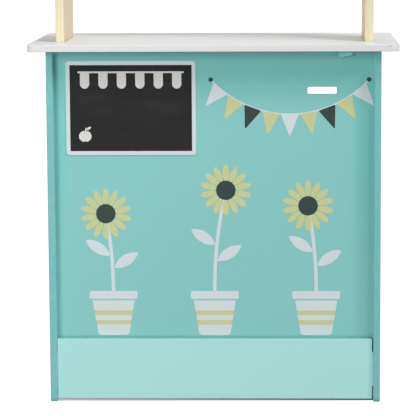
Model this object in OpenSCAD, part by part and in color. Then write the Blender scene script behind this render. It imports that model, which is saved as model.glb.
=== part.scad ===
// Toy market stall: a painted board counter with two pine uprights and a header board.
// The customer's side faces -Y, +X is to the right seen from there, and +Z is up.
// The origin lies on the floor under the middle of the countertop.

/* [Overall] */
// Height of the countertop's upper face above the floor
counter_h = 630; // [600:1:700]
// Height of the whole stall
stall_h = 1230; // [1100:1:1400]

/* [Countertop] */
// Width of the countertop
counter_w = 640; // [590:1:760]
// Depth of the countertop
counter_d = 350; // [280:1:400]
// Thickness of the countertop
top_t = 12; // [11:0.5:18]
// Radius of the countertop's corners, seen from above
top_corner_r = 12; // [4:1:25]
// How far the countertop stands out past each side panel
side_overhang = 30; // [15:1:45]
// How far the countertop stands out past the side panels in front
front_overhang = 25; // [10:1:35]
// How far the countertop stands out past the side panels behind
rear_overhang = 15; // [5:1:22]

/* [Side panels] */
// Thickness of the side panels
side_t = 12; // [11:0.5:18]
// Depth of the groove that holds the front panel's edge
groove_depth = 5; // [3:0.5:7]

/* [Front panel] */
// Thickness of the front panel
front_t = 9; // [6:0.5:11]
// How far the front panel's face lies behind the side panels' front edges
front_recess = 13; // [11.5:0.5:18]
// Height of the front panel's lower edge above the floor
front_foot = 30; // [15:1:50]
// Width of the card slot
slot_w = 51; // [30:1:70]
// Height of the card slot
slot_h = 13; // [8:0.5:20]
// Radius of the card slot's corners
slot_r = 3; // [1:0.5:3.5]
// Distance from the right side panel to the middle of the card slot
slot_inset = 90; // [70:1:120]
// Distance from the countertop's underside down to the middle of the card slot
slot_drop = 70; // [40:1:120]

/* [Kickboard] */
// Height of the kickboard
kick_h = 108; // [90:1:125]
// Thickness of the kickboard
kick_t = 9; // [6:0.5:10]
// Gap between the kickboard and the floor
kick_lift = 4.5; // [2:0.5:12]
// Height of the tab at each end of the kickboard
tab_h = 61; // [30:1:75]
// How far each tab goes into its side panel
tab_len = 7; // [4:0.5:7.5]
// Open joint beside the kickboard at the left
kick_gap_left = 0.4; // [0.2:0.1:2]
// Open joint beside the kickboard at the right
kick_gap_right = 2.2; // [0.2:0.1:3]

/* [Uprights] */
// Thickness of the upright planks
upright_t = 15; // [14:0.5:20]
// Distance from the countertop's front edge back to the uprights
upright_setback = 83; // [60:1:100]
// Distance from the countertop's rear edge forward to the uprights
upright_rear_gap = 109; // [100:1:150]
// Room round each upright in its countertop slot
upright_room = 1; // [0.3:0.1:1.5]

/* [Header] */
// Height of the header board
header_h = 140; // [110:1:180]
// Thickness of the header board
header_t = 12; // [9:0.5:15]
// Radius of the header board's corners
header_r = 24; // [8:1:40]
// How far the header board stands above the uprights
header_rise = 12; // [4:1:25]
// Height of the tie rail between the uprights
tie_h = 45; // [40:1:70]
// Thickness of the tie rail
tie_t = 15; // [13:0.5:20]

/* [Shelves] */
// Thickness of the shelves
shelf_t = 12; // [12:0.5:18]
// Height of the middle shelf's upper face above the floor
mid_shelf_z = 330; // [280:1:360]
// Height of the bottom shelf's upper face above the floor
bottom_shelf_z = 72; // [62:1:80]
// How far the shelves and the rail lie inside the side panels' rear edges
shelf_inset = 10; // [0:1:12]
// Height of the back rail
rail_h = 60; // [55:1:90]
// Thickness of the back rail
rail_t = 12; // [12:0.5:14]
// Width and height of the countertop cleats
cleat_s = 18; // [16:0.5:22]
// Length of the countertop cleats
cleat_len = 48; // [40:1:52]

/* [Chalkboard] */
// Width of the chalkboard's writing sheet
sheet_w = 212; // [150:1:240]
// Height of the chalkboard's writing sheet
sheet_h = 150; // [100:1:200]
// Thickness of the writing sheet
sheet_t = 0.8; // [0.5:0.1:2]
// Width of the chalkboard's border
border_w = 7; // [5:0.5:14]
// Thickness of the chalkboard's border
border_t = 1.2; // [0.6:0.1:3]
// Radius of the border's outer corners
border_r = 6; // [2:0.5:10]
// Distance from the left side panel to the border
border_inset = 21; // [8:1:40]
// Distance from the countertop's underside down to the border
border_drop = 18; // [8:1:40]

/* [Turn button] */
// Radius of the turn button's round end
button_r = 5; // [4.5:0.1:5.5]
// Radius of the turn button's tip
button_tip_r = 3.5; // [2:0.1:4]
// Distance between the middles of the round end and the tip
button_reach = 16; // [12:0.5:20]
// How far the tip lies above the round end at rest
button_lift = 1.2; // [0:0.1:1.5]
// Thickness of the turn button
button_t = 7; // [5:0.5:9]
// Distance from the right side panel to the turn button's pivot
button_inset = 57; // [45:1:65]
// Distance from the countertop's underside down to the turn button's pivot
button_drop = 6.8; // [6.3:0.1:9]
// Diameter of the turn button's screw
pivot_d = 4; // [3:0.1:4.5]
// Diameter of the turn button's screw head and washer
pivot_head_d = 7.5; // [6.5:0.1:8]
// Thickness of the turn button's screw head
pivot_head_t = 2; // [1.5:0.1:3]
// Thickness of the washer behind the turn button
washer_t = 1; // [0.6:0.1:2]
// How far the turn button's screw goes into the front panel
pivot_grip = 5; // [4:0.5:5.5]

/* [Fastenings] */
// Diameter of the shelf bolts
bolt_d = 5; // [4:0.5:5.5]
// Length of the shelf bolts past the side panels
bolt_reach = 30; // [28:1:40]
// Diameter of the shelf bolts' heads
bolt_head_d = 12; // [9:0.5:14]
// Thickness of the shelf bolts' heads
bolt_head_t = 2.4; // [1.5:0.1:4]
// Diameter of the barrel nuts
barrel_d = 8; // [7:0.5:9]
// Length of the barrel nuts
barrel_len = 10; // [9:0.5:10.5]
// Distance from a board's end to its barrel nut
barrel_inset = 22; // [16:1:24]
// Distance from a shelf's front and rear edges to its bolts
bolt_inset = 40; // [25:1:60]
// Width across the flats of the hexagon sockets in the bolt heads
socket_w = 4; // [3:0.5:5]
// Depth of the hexagon sockets in the bolt heads
socket_depth = 1.6; // [1:0.1:2]
// Diameter of the wooden dowels
dowel_d = 6; // [5:0.5:7]
// How far the dowels go into a board's end
dowel_end = 16; // [12:1:24]
// How far the dowels go into a board's face
dowel_face = 8; // [5:0.5:8.5]
// Distance from the side panels' front edges to the front top dowels
dowel_front_inset = 57; // [40:1:90]
// Distance from the side panels' rear edges to the rear top dowels
dowel_rear_inset = 67; // [56:1:90]
// Distance from the back rail's lower edge to its dowels
rail_dowel_rise = 12; // [8:1:14]
// Diameter of the upright bolts
through_d = 6; // [5:0.5:6.5]
// Diameter of the upright bolts' heads and the sleeve nuts' flanges
through_head_d = 13; // [10:0.5:15]
// Thickness of the upright bolts' heads
through_head_t = 3; // [2:0.1:4]
// Outer diameter of the sleeve nuts
sleeve_d = 8; // [7.5:0.1:10]
// How far the sleeve nuts go into the uprights
sleeve_len = 11; // [8:0.5:12]
// Thickness of the sleeve nuts' flanges
sleeve_flange_t = 1.6; // [1:0.1:2.5]
// Distance from the uprights' feet up to the lower bolts
through_low = 60; // [30:1:90]
// Distance from the countertop's underside down to the upper bolts
through_high = 60; // [40:1:90]
// Diameter of the wood screws
screw_d = 3.5; // [3:0.1:4]
// Diameter of the wood screws' heads
screw_head_d = 7; // [6:0.1:8]
// Thickness of the wood screws' heads
screw_head_t = 2.2; // [1.8:0.1:3]
// Length of each arm of the cross in the screw heads
cross_len = 4; // [3:0.1:4.5]
// Width of the arms of the cross in the screw heads
cross_w = 0.9; // [0.6:0.1:1.2]
// Depth of the cross in the screw heads
cross_depth = 1.2; // [0.8:0.1:1.4]
// How far the short screws go into the board that they hold
screw_bite = 6; // [4:0.5:6.5]
// How far the long screws go into the board's edge that they hold
screw_edge_bite = 25; // [15:1:35]
// Number of screws through the front panel into the kickboard
kick_screws_n = 3; // [2:1:5]
// Distance from the side panels to the outer kickboard screws
kick_screw_inset = 60; // [30:1:90]
// Distance from the bottom shelf up to the kickboard screws
kick_screw_rise = 18; // [8:1:22]
// Distance from a cleat's ends to its screws
cleat_screw_inset = 11; // [10:0.5:14]
// Distance from the header's lower edge and the uprights' tops to the header screws
header_screw_inset = 32; // [20:1:45]
// Distance from the tie rail's edges to its screws
tie_screw_inset = 12; // [8:0.5:15]

/* [Clearances] */
// Room on each side of a board in its groove or slot
board_room = 0.2; // [0.1:0.05:0.4]
// Radial room round bolts, screws and dowels
hole_room = 0.15; // [0.1:0.05:0.3]
// Radial running clearance of the turn button on its screw
pivot_room = 0.05; // [0.02:0.01:0.1]
// Gap in front of and behind the turn button
swing_room = 0.3; // [0.2:0.05:0.6]

/* [Hidden] */
$fn = 48;

// Paint and board colours
teal = [0.45, 0.75, 0.73];
mint = [0.66, 0.86, 0.84];
white = [0.88, 0.88, 0.88];
pine = [0.92, 0.87, 0.72];
beech = [0.85, 0.72, 0.55];
black = [0.13, 0.13, 0.13];
steel = [0.72, 0.72, 0.74];

// How far a cutting shape runs past the face that it opens
cut = 1;

// Across the stall, for the right half
out_x = counter_w / 2 - side_overhang;
in_x = out_x - side_t;
mid_side_x = out_x - side_t / 2;
upright_x = in_x - upright_t;
mid_upright_x = in_x - upright_t / 2;

// From front to back
front_y = -counter_d / 2;
side_front_y = front_y + front_overhang;
side_rear_y = counter_d / 2 - rear_overhang;
side_d = side_rear_y - side_front_y;
face_y = side_front_y + front_recess;
panel_back_y = face_y + front_t;
kick_y = face_y - kick_t;
upright_y = front_y + upright_setback;
upright_rear_y = counter_d / 2 - upright_rear_gap;
upright_d = upright_rear_y - upright_y;
mid_upright_y = (upright_y + upright_rear_y) / 2;
shelf_rear_y = side_rear_y - shelf_inset;
rail_y = shelf_rear_y - rail_t;
mid_rail_y = shelf_rear_y - rail_t / 2;
cleat_y = rail_y - cleat_len;
mid_tie_y = upright_rear_y - tie_t / 2;
shelf_bolt_ys = [panel_back_y + bolt_inset, shelf_rear_y - bolt_inset];
shelf_dowel_y = (panel_back_y + shelf_rear_y) / 2;
top_dowel_ys = [side_front_y + dowel_front_inset, side_rear_y - dowel_rear_inset];

// Up the stall
under_z = counter_h - top_t;
upright_top_z = stall_h - header_rise;
header_z = stall_h - header_h;
tie_z = upright_top_z - tie_h;
rail_z = under_z - rail_h;
mid_rail_z = under_z - rail_h / 2;
mid_kick_z = kick_lift + kick_h / 2;
shelf_zs = [mid_shelf_z, bottom_shelf_z];
through_zs = [mid_shelf_z + through_low, under_z - through_high];
header_screw_zs = [header_z + header_screw_inset, upright_top_z - header_screw_inset];
tie_screw_zs = [tie_z + tie_screw_inset, upright_top_z - tie_screw_inset];
kick_screw_z = bottom_shelf_z + kick_screw_rise;

// Details of the front
slot_x = in_x - slot_inset;
slot_z = under_z - slot_drop;
pivot_x = in_x - button_inset;
pivot_z = under_z - button_drop;
border_x = -in_x + border_inset;
border_z = under_z - border_drop - sheet_h - 2 * border_w;
kick_screw_xs = [for (i = [0 : kick_screws_n - 1])
  (2 * i / (kick_screws_n - 1) - 1) * (in_x - kick_screw_inset)];

// Depths of the blind holes
bolt_bore = bolt_reach + cut;
barrel_bore = (shelf_t + barrel_len) / 2;
rail_barrel_bore = (rail_t + barrel_len) / 2;
tab_bore = tab_len + board_room;

// A cylinder along +X from a point
module rod_x(at, d, len) {
  translate(at) rotate([0, 90, 0]) cylinder(d = d, h = len);
}

// A cylinder along +Y from a point
module rod_y(at, d, len) {
  translate(at) rotate([-90, 0, 0]) cylinder(d = d, h = len);
}

// A cylinder along +Z from a point
module rod_z(at, d, len) {
  translate(at) cylinder(d = d, h = len);
}

// A flat rectangle with round corners, from its lower left corner
module round_rectangle(w, h, r) {
  translate([r, 0]) square([w - 2 * r, h]);
  translate([0, r]) square([w, h - 2 * r]);
  for (x = [r, w - r], y = [r, h - r]) translate([x, y]) circle(r);
}

// An upright plate with round corners, its lower left front corner at a point
module round_plate(at, w, h, t, r) {
  translate([at.x, at.y + t, at.z]) rotate([90, 0, 0])
    linear_extrude(t) round_rectangle(w, h, r);
}

// The children and their mirror images across the stall
module both_sides() {
  children();
  mirror([1, 0, 0]) children();
}

// Holes in a side panel and a board's end for one bolt at height z
module shelf_bolt_hole(y, z) {
  rod_x([in_x - bolt_bore, y, z], bolt_d + 2 * hole_room, bolt_bore + side_t + cut);
}

// Holes in a side panel and a board's end for one dowel at height z
module shelf_dowel_hole(y, z) {
  rod_x([in_x - dowel_end, y, z], dowel_d + 2 * hole_room, dowel_end + dowel_face);
}

// All holes that the shelves and the back rail share with the right side panel
module shelf_holes() {
  for (z = shelf_zs) {
    for (y = shelf_bolt_ys) shelf_bolt_hole(y, z - shelf_t / 2);
    shelf_dowel_hole(shelf_dowel_y, z - shelf_t / 2);
  }
  shelf_bolt_hole(mid_rail_y, mid_rail_z);
  shelf_dowel_hole(mid_rail_y, rail_z + rail_dowel_rise);
}

// Dowel holes that the right side panel shares with the countertop
module top_dowel_holes() {
  for (y = top_dowel_ys)
    rod_z([mid_side_x, y, under_z - dowel_end], dowel_d + 2 * hole_room, dowel_end + dowel_face);
}

// Holes for the two bolts that hold the right upright
module through_holes() {
  for (z = through_zs) {
    rod_x([upright_x - cut, mid_upright_y, z],
      through_d + 2 * hole_room, upright_t + side_t + 2 * cut);
    rod_x([upright_x - cut, mid_upright_y, z],
      sleeve_d + 2 * hole_room, sleeve_len + cut + hole_room);
  }
}

// Holes for the right cleat's upward and sideways screws
module cleat_holes() {
  rod_z([in_x - cleat_s / 2, cleat_y + cleat_screw_inset, under_z - cleat_s - cut],
    screw_d + 2 * hole_room, cleat_s + cut + screw_bite + hole_room);
  rod_x([in_x - cleat_s - cut, rail_y - cleat_screw_inset, under_z - cleat_s / 2],
    screw_d + 2 * hole_room, cleat_s + cut + screw_bite + hole_room);
}

// Holes for the header's screws at the right
module header_holes() {
  for (z = header_screw_zs) {
    rod_y([mid_upright_x, upright_y - header_t - cut, z],
      screw_d + 2 * hole_room, header_t + cut + screw_edge_bite + hole_room);
    rod_y([mid_upright_x, upright_y - header_t - cut, z],
      screw_head_d + 2 * hole_room, screw_head_t + cut);
  }
}

// Holes for the tie rail's screws at the right
module tie_holes() {
  for (z = tie_screw_zs) {
    rod_x([upright_x - screw_edge_bite - hole_room, mid_tie_y, z],
      screw_d + 2 * hole_room, screw_edge_bite + upright_t + cut + hole_room);
    rod_x([in_x - screw_head_t, mid_tie_y, z],
      screw_head_d + 2 * hole_room, screw_head_t + cut);
  }
}

// Holes for the kickboard's screws, from the front panel's back
module kick_screw_holes() {
  for (x = kick_screw_xs)
    rod_y([x, face_y - screw_bite - hole_room, kick_screw_z],
      screw_d + 2 * hole_room, screw_bite + front_t + cut + hole_room);
}

// Hole for the turn button's screw in the front panel
module pivot_hole() {
  rod_y([pivot_x, face_y - cut, pivot_z], pivot_d + 2 * hole_room, pivot_grip + cut + hole_room);
}

// The cross cut into a screw head, whose outer face is at the origin and whose shank runs along +Z
module cross_recess() {
  for (turn = [0, 90]) rotate([0, 0, turn])
    translate([-cross_len / 2, -cross_w / 2, -cut]) cube([cross_len, cross_w, cut + cross_depth]);
}

// A wood screw along +Z, with the underside of its head at the origin
module wood_screw(len) {
  cylinder(d = screw_d, h = len);
  translate([0, 0, -screw_head_t]) difference() {
    cylinder(d = screw_head_d, h = screw_head_t);
    cross_recess();
  }
}

// A socket bolt along -X at the right: its head outside the side panel, its tip at tip_x
module socket_bolt(y, z, tip_x, d, head_d, head_t) {
  difference() {
    union() {
      rod_x([out_x, y, z], head_d, head_t);
      rod_x([tip_x, y, z], d, out_x + head_t - tip_x);
    }
    translate([out_x + head_t - socket_depth, y, z]) rotate([0, 90, 0])
      cylinder(d = socket_w / cos(30), h = socket_depth + cut, $fn = 6);
  }
}

module side_panel() {
  difference() {
    translate([in_x, side_front_y, 0]) cube([side_t, side_d, under_z]);
    translate([in_x - cut, face_y - board_room, front_foot])
      cube([groove_depth + cut, front_t + 2 * board_room, under_z]);
    translate([in_x - cut, kick_y - board_room, mid_kick_z - tab_h / 2 - board_room])
      cube([tab_bore + cut, kick_t + 2 * board_room, tab_h + 2 * board_room]);
    shelf_holes();
    top_dowel_holes();
    through_holes();
    cleat_holes();
  }
}

module left_side_panel() {
  color(teal) mirror([1, 0, 0]) side_panel();
}

module right_side_panel() {
  color(teal) side_panel();
}

module countertop() {
  color(white) difference() {
    translate([-counter_w / 2, front_y, under_z])
      linear_extrude(top_t) round_rectangle(counter_w, counter_d, top_corner_r);
    both_sides() {
      translate([upright_x - upright_room, upright_y - upright_room, under_z - cut])
        cube([upright_t + 2 * upright_room, upright_d + 2 * upright_room, top_t + 2 * cut]);
      top_dowel_holes();
      cleat_holes();
    }
  }
}

module front_panel() {
  half_w = in_x + groove_depth - board_room;
  color(teal) difference() {
    translate([-half_w, face_y, front_foot]) cube([2 * half_w, front_t, under_z - front_foot]);
    round_plate([slot_x - slot_w / 2, face_y - cut, slot_z - slot_h / 2],
      slot_w, slot_h, front_t + 2 * cut, slot_r);
    kick_screw_holes();
    pivot_hole();
  }
}

module kickboard() {
  left_x = -in_x + kick_gap_left;
  right_x = in_x - kick_gap_right;
  color(mint) difference() {
    union() {
      translate([left_x, kick_y, kick_lift]) cube([right_x - left_x, kick_t, kick_h]);
      translate([-in_x - tab_len, kick_y, mid_kick_z - tab_h / 2])
        cube([2 * (in_x + tab_len), kick_t, tab_h]);
    }
    kick_screw_holes();
  }
}

module upright() {
  difference() {
    translate([upright_x, upright_y, mid_shelf_z])
      cube([upright_t, upright_d, upright_top_z - mid_shelf_z]);
    through_holes();
    header_holes();
    tie_holes();
  }
}

module left_upright() {
  color(pine) mirror([1, 0, 0]) upright();
}

module right_upright() {
  color(pine) upright();
}

module header_board() {
  color(mint) difference() {
    round_plate([-out_x, upright_y - header_t, header_z], 2 * out_x, header_h, header_t, header_r);
    both_sides() header_holes();
  }
}

module tie_rail() {
  color(pine) difference() {
    translate([-upright_x, upright_rear_y - tie_t, tie_z]) cube([2 * upright_x, tie_t, tie_h]);
    both_sides() tie_holes();
  }
}

// A shelf between the side panels with its upper face at height z
module shelf(z) {
  difference() {
    translate([-in_x, panel_back_y, z - shelf_t])
      cube([2 * in_x, shelf_rear_y - panel_back_y, shelf_t]);
    both_sides() {
      shelf_holes();
      for (y = shelf_bolt_ys)
        rod_z([in_x - barrel_inset, y, z - shelf_t - cut], barrel_d + 2 * hole_room, barrel_bore + cut);
    }
  }
}

module mid_shelf() {
  color(white) shelf(mid_shelf_z);
}

module bottom_shelf() {
  color(white) shelf(bottom_shelf_z);
}

module back_rail() {
  color(white) difference() {
    translate([-in_x, rail_y, rail_z]) cube([2 * in_x, rail_t, rail_h]);
    both_sides() {
      shelf_holes();
      rod_y([in_x - barrel_inset, rail_y - cut, mid_rail_z],
        barrel_d + 2 * hole_room, rail_barrel_bore + cut);
    }
  }
}

module top_cleat() {
  difference() {
    translate([in_x - cleat_s, cleat_y, under_z - cleat_s]) cube([cleat_s, cleat_len, cleat_s]);
    cleat_holes();
  }
}

module left_top_cleat() {
  color(pine) mirror([1, 0, 0]) top_cleat();
}

module right_top_cleat() {
  color(pine) top_cleat();
}

module chalkboard_sheet() {
  color(black) translate([border_x + border_w, face_y - sheet_t, border_z + border_w])
    cube([sheet_w, sheet_t, sheet_h]);
}

module chalkboard_frame() {
  color(white) difference() {
    round_plate([border_x, face_y - border_t, border_z],
      sheet_w + 2 * border_w, sheet_h + 2 * border_w, border_t, border_r);
    translate([border_x + border_w, face_y - border_t - cut, border_z + border_w])
      cube([sheet_w, border_t + 2 * cut, sheet_h]);
  }
}

module turn_button() {
  button_y = face_y - washer_t - swing_room - button_t;
  color(teal) difference() {
    translate([pivot_x, button_y + button_t, pivot_z]) rotate([90, 0, 0])
      linear_extrude(button_t) hull() {
        circle(button_r);
        translate([button_reach, button_lift]) circle(button_tip_r);
      }
    rod_y([pivot_x, button_y - cut, pivot_z], pivot_d + 2 * pivot_room, button_t + 2 * cut);
  }
}

module turn_screw() {
  head_y = face_y - washer_t - 2 * swing_room - button_t - pivot_head_t;
  color(teal) difference() {
    union() {
      rod_y([pivot_x, head_y, pivot_z], pivot_head_d, pivot_head_t);
      rod_y([pivot_x, head_y, pivot_z], pivot_d, face_y + pivot_grip - head_y);
    }
    translate([pivot_x, head_y, pivot_z]) rotate([-90, 0, 0]) cross_recess();
  }
}

module turn_washer() {
  color(white) difference() {
    rod_y([pivot_x, face_y - washer_t, pivot_z], pivot_head_d, washer_t);
    rod_y([pivot_x, face_y - washer_t - cut, pivot_z], pivot_d + 2 * hole_room, washer_t + 2 * cut);
  }
}

// One shelf bolt at the right, at height z
module shelf_bolt(y, z) {
  socket_bolt(y, z, in_x - bolt_reach, bolt_d, bolt_head_d, bolt_head_t);
}

module shelf_bolts() {
  color(steel) both_sides() {
    for (z = shelf_zs, y = shelf_bolt_ys) shelf_bolt(y, z - shelf_t / 2);
    shelf_bolt(mid_rail_y, mid_rail_z);
  }
}

module barrel_nuts() {
  color(steel) both_sides() {
    for (z = shelf_zs, y = shelf_bolt_ys) difference() {
      rod_z([in_x - barrel_inset, y, z - (shelf_t + barrel_len) / 2], barrel_d, barrel_len);
      shelf_bolt_hole(y, z - shelf_t / 2);
    }
    difference() {
      rod_y([in_x - barrel_inset, mid_rail_y - barrel_len / 2, mid_rail_z], barrel_d, barrel_len);
      shelf_bolt_hole(mid_rail_y, mid_rail_z);
    }
  }
}

// One dowel at the right between a board's end and the side panel
module shelf_dowel(y, z) {
  rod_x([in_x - dowel_end + hole_room, y, z], dowel_d, dowel_end + dowel_face - 2 * hole_room);
}

module shelf_dowels() {
  color(beech) both_sides() {
    for (z = shelf_zs) shelf_dowel(shelf_dowel_y, z - shelf_t / 2);
    shelf_dowel(mid_rail_y, rail_z + rail_dowel_rise);
  }
}

module top_dowels() {
  color(beech) both_sides() for (y = top_dowel_ys)
    rod_z([mid_side_x, y, under_z - dowel_end + hole_room], dowel_d,
      dowel_end + dowel_face - 2 * hole_room);
}

module upright_bolts() {
  tip_x = upright_x + sleeve_flange_t;
  color(steel) both_sides() for (z = through_zs)
    socket_bolt(mid_upright_y, z, tip_x, through_d, through_head_d, through_head_t);
}

module sleeve_nuts() {
  color(steel) both_sides() for (z = through_zs) difference() {
    union() {
      rod_x([upright_x - sleeve_flange_t, mid_upright_y, z],
        through_head_d, sleeve_flange_t);
      rod_x([upright_x - sleeve_flange_t, mid_upright_y, z],
        sleeve_d, sleeve_len + sleeve_flange_t);
    }
    rod_x([upright_x, mid_upright_y, z],
      through_d + 2 * hole_room, sleeve_len + cut);
  }
}

module kick_screws() {
  color(steel) for (x = kick_screw_xs)
    translate([x, panel_back_y, kick_screw_z]) rotate([90, 0, 0]) wood_screw(front_t + screw_bite);
}

module cleat_screws() {
  color(steel) both_sides() {
    translate([in_x - cleat_s / 2, cleat_y + cleat_screw_inset, under_z - cleat_s])
      wood_screw(cleat_s + screw_bite);
    translate([in_x - cleat_s, rail_y - cleat_screw_inset, under_z - cleat_s / 2])
      rotate([0, 90, 0]) wood_screw(cleat_s + screw_bite);
  }
}

module header_screws() {
  color(steel) both_sides() for (z = header_screw_zs)
    translate([mid_upright_x, upright_y - header_t + screw_head_t, z]) rotate([-90, 0, 0])
      wood_screw(header_t - screw_head_t + screw_edge_bite);
}

module tie_screws() {
  color(steel) both_sides() for (z = tie_screw_zs)
    translate([in_x - screw_head_t, mid_tie_y, z]) rotate([0, -90, 0])
      wood_screw(upright_t - screw_head_t + screw_edge_bite);
}

countertop();
left_side_panel();
right_side_panel();
front_panel();
kickboard();
left_upright();
right_upright();
header_board();
tie_rail();
mid_shelf();
bottom_shelf();
back_rail();
left_top_cleat();
right_top_cleat();
chalkboard_sheet();
chalkboard_frame();
turn_button();
turn_screw();
turn_washer();
shelf_bolts();
barrel_nuts();
shelf_dowels();
top_dowels();
upright_bolts();
sleeve_nuts();
kick_screws();
cleat_screws();
header_screws();
tie_screws();
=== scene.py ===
"""Looks of the toy market stall: eased boards, paint, timber, printed front, camera and light.

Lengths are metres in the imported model's frame: the customer's side faces -Y and +Z is up.
"""
import math

import bpy
from mathutils import Euler, Matrix, Vector


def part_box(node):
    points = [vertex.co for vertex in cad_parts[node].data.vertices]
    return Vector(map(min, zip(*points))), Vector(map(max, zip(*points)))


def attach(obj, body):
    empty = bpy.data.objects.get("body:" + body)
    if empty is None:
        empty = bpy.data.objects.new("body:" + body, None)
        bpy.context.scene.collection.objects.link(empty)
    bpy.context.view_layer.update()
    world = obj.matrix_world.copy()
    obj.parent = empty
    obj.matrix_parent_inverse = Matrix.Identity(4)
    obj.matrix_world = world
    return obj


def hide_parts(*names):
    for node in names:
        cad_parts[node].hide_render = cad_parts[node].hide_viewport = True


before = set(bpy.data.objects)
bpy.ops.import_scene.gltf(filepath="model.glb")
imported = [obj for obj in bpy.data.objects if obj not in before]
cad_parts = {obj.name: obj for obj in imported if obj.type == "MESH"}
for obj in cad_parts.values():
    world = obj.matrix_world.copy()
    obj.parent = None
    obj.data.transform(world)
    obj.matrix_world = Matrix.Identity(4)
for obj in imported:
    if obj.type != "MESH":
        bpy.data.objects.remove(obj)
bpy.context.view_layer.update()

MM = 0.001
X, Y, Z = range(3)
STALL = "stall"
BUTTON = "turn_button"

# The quarter turn that stands a flat shape up to face the customer
FACING = math.pi / 2

# The photograph's camera: its place, its turn, tilt and roll in degrees, and its focal length and
# middle in pixels
IMAGE_SIDE = 416
CAMERA_PLACE = (0.1283, -3.7862, 0.8609)
CAMERA_TURN = 1.308
CAMERA_TILT = 7.591
CAMERA_ROLL = -0.212
FOCAL_PIXELS = 2111.9
MIDDLE_PIXEL = (240, 190)
SENSOR = 36

# Softboxes: degrees round from the front to the customer's right and up from the floor, then distance
# and side in metres and power in watts
SOFTBOXES = {
    "key_softbox": {"right": 46, "up": 57, "distance": 5.2, "side": 0.87, "power": 84},
    "right_softbox": {"right": 66, "up": 30, "distance": 8.4, "side": 1.6, "power": 268},
    "left_softbox": {"right": -35, "up": 12, "distance": 2.8, "side": 1.1, "power": 33},
    "top_softbox": {"right": 0, "up": 88, "distance": 4.2, "side": 2.5, "power": 14},
    "back_softbox": {"right": 180, "up": 45, "distance": 4.2, "side": 3.0, "power": 62},
}
LIGHT_AIM = (0, 0, 0.55)
ROOM_LIGHT = 0.31

# The white floor, and the round backdrop that stands on it
FLOOR_SPAN = 120
BACKDROP_RADIUS = 57
BACKDROP_HEIGHT = 100
BACKDROP_SIDES = 64

# The shade on the floor under the stall: half its width, its front and rear, its soft edges and its
# depth. From its middle to its right end the front edge narrows, and the depth grows, by the two leans.
SHADE_HALF = 284 * MM
SHADE_FRONT = -133 * MM
SHADE_REAR = 150 * MM
SHADE_SIDE_EDGE = 3 * MM
SHADE_FRONT_EDGE = 13 * MM
SHADE_REAR_EDGE = 230 * MM
SHADE_DEPTH = 0.78
SHADE_EDGE_LEAN = 7 * MM
SHADE_DEPTH_LEAN = 0.2

# How far each board's arris is eased, and the radius of its corners
BOARD_ARRIS = 1.2 * MM
PANEL_ARRIS = 2.0 * MM
TOP_ARRIS = 1.0 * MM
TIMBER_ARRIS = 1.8 * MM
SLOT_ARRIS = 0.7 * MM
BORDER_ARRIS = 0.35 * MM
BUTTON_ARRIS = 1.2 * MM
ARRIS_STEPS = 3
TOP_CORNER = 12 * MM
HEADER_CORNER = 24 * MM
BORDER_CORNER = 6 * MM

# The card slot's middle and size on the front panel
SLOT_MIDDLE = (188 * MM, 548 * MM)
SLOT_SIZE = (51 * MM, 13 * MM)

# Where shade is painted on the front panel as a deeper, more saturated teal: under the countertop, and
# beside the right and the left side panel, from some way up
TOP_PAINTED_SHADE = (520 * MM, 575 * MM)
SIDE_PAINTED_SHADES = (
    {"side": 1, "near": (228 * MM, 262 * MM), "rise": (120 * MM, 430 * MM)},
    {"side": -1, "near": (248 * MM, 270 * MM), "rise": (220 * MM, 420 * MM)},
)

# Painted contact shade darkens the front panel above the kickboard and the feet of the standing panels,
# in a strip that fades out upwards. A small chip is in the countertop's front edge.
STANDING = ("left_side_panel", "right_side_panel")
CREASE_HEIGHT = 6 * MM
CREASE_SHADE = 0.55
CHIP_PLACE = (303.5 * MM, -175 * MM, 627.4 * MM)
CHIP_SIZE = 3.8 * MM

# Pine: the year rings' pitch, their growth along the grain and their waviness, and where in a ring
# the dark late wood builds up and ends
RING_PITCH = 5.2 * MM
RING_TAPER = 0.011
RING_WANDER = 12 * MM
LATE_WOOD = (0.35, 0.93)
RING_END = (0.94, 1.0)

# The slant of the strokes in which chalk was wiped off the board
WIPE_SLANT = math.radians(24)

# The printed garland: its lowest point, its round, its string, tacks and flags
GARLAND_MIDDLE = 132 * MM
GARLAND_LOW = 507 * MM
GARLAND_RADIUS = 186 * MM
GARLAND_SWEEP = math.radians(95)
STRING_WIDTH = 2.6 * MM
TACK_SIZE = 8 * MM
FLAG_WIDTH = 31 * MM
FLAG_HEIGHT = 40 * MM
FLAG_CORNER = 3 * MM
FLAG_PITCH = math.radians(10.1)
FLAG_INKS = ("white", "yellow", "dark", "yellow", "white", "yellow", "dark", "yellow", "white")

# The printed plants: each one's middle, stem height and lean, and the sizes of what they share.
# Leaves grow at a share of the stem's height, to one side.
PLANTS = ((-178 * MM, 138 * MM, -1), (0, 180 * MM, 1), (178 * MM, 152 * MM, -1))
POTS_FOOT = 117 * MM
POT_WIDTH = 74 * MM
POT_FOOT = 54 * MM
POT_HEIGHT = 62 * MM
POT_CORNER = 5 * MM
RIM_WIDTH = 84 * MM
RIM_HEIGHT = 14 * MM
RIM_CORNER = 3 * MM
RIM_GAP = 2.5 * MM
STRIPE_FEET = (19 * MM, 36 * MM)
STRIPE_HEIGHT = 8 * MM
STEM_WIDTH = 6 * MM
STEM_RADIUS = 800 * MM
LEAF_LENGTH = 50 * MM
LEAF_WIDTH = 19 * MM
LEAF_RISE = math.radians(33)
LEAF_PLACES = ((0.3, 1), (0.46, -1))
PETAL_COUNT = 14
PETAL_LENGTH = 29 * MM
PETAL_WIDTH = 11.4 * MM
PETAL_INNER = 16 * MM
SEEDS_SIZE = 34 * MM

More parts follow.
